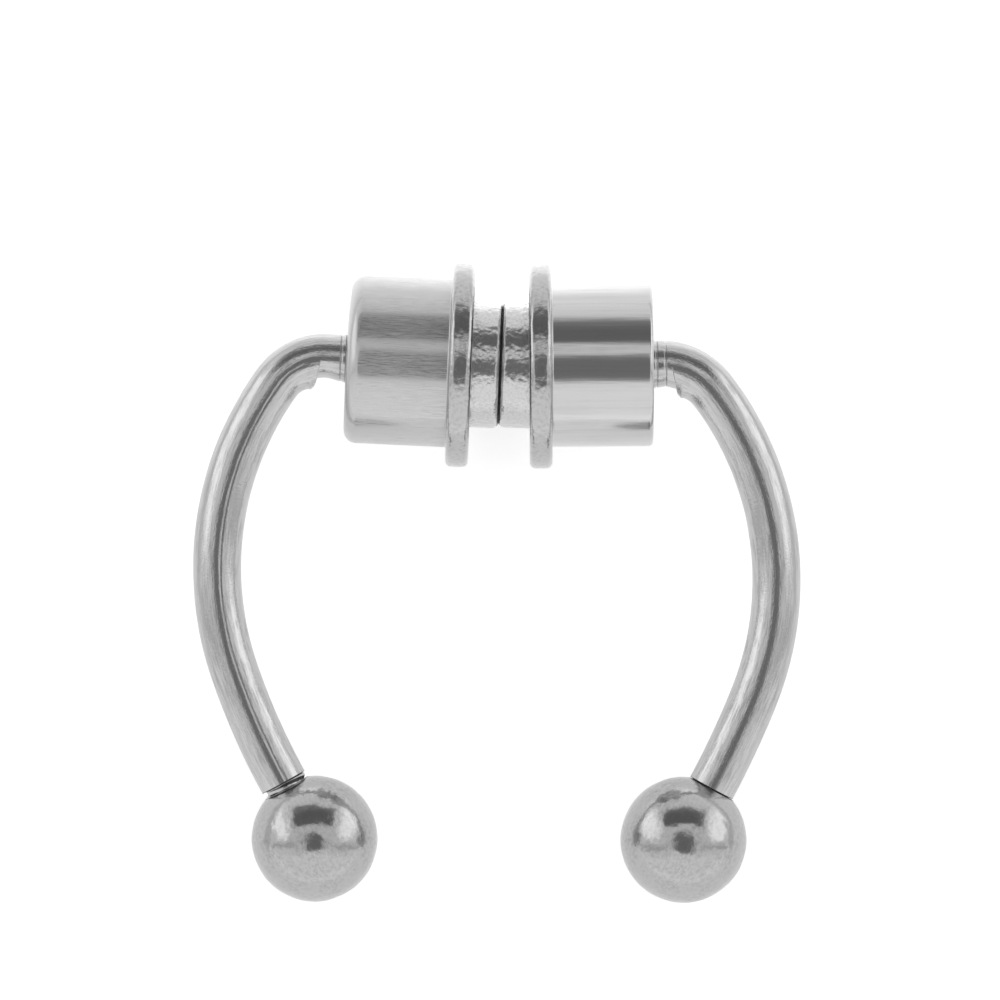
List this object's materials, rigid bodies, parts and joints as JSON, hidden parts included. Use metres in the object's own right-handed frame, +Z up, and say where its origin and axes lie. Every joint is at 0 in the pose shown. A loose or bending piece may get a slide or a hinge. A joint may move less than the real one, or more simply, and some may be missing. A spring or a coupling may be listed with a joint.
{
  "type": "magnetic septum ring",
  "caption": "Horseshoe-shaped clip-on nose ring: two bent steel bars with screw-on balls, joined through flanged cups by disc magnets that pinch the septum.",
  "frame": {"origin": "middle of the base, on the surface that the ring lies on", "axes": "+X towards the right half along the line of the magnets, +Y from the balls towards the magnets, +Z up from the surface"},
  "size_m": [0.0144, 0.0152, 0.0049],
  "materials": {
    "bar_steel": "drawn and tumble-polished stainless steel with fine lines along the bar",
    "cup_steel": "turned and polished stainless steel",
    "ball_steel": "tumble-polished stainless steel, lightly scuffed",
    "magnet_nickel": "bright nickel plating with an orange-peel surface"
  },
  "bodies": {
    "left_half": {"left_bar": "bar_steel", "left_cup": "cup_steel", "left_magnet": "magnet_nickel"},
    "right_magnet": {"right_magnet": "magnet_nickel"},
    "right_half": {"right_cup": "cup_steel", "right_bar": "bar_steel"},
    "left_ball": {"left_ball": "ball_steel"},
    "right_ball": {"right_ball": "ball_steel"}
  },
  "joints": [
    {"name": "pull_apart", "type": "slide", "parent": "left_half", "child": "right_magnet", "axis": [1, 0, 0], "range_m": [0, 0.004]},
    {"name": "swivel", "type": "hinge", "parent": "right_magnet", "child": "right_half", "pos_m": [0.00009, 0.00514, 0.00246], "axis": [-1, -0.007, -0.0006], "continuous": true},
    {"name": "left_ball_unscrew", "type": "slide", "parent": "left_half", "child": "left_ball", "axis": [0.4833, -0.8723, -0.0744], "range_m": [0, 0.002]},
    {"name": "right_ball_unscrew", "type": "slide", "parent": "right_half", "child": "right_ball", "axis": [-0.4741, -0.8773, -0.0749], "range_m": [0, 0.002]}
  ]
}
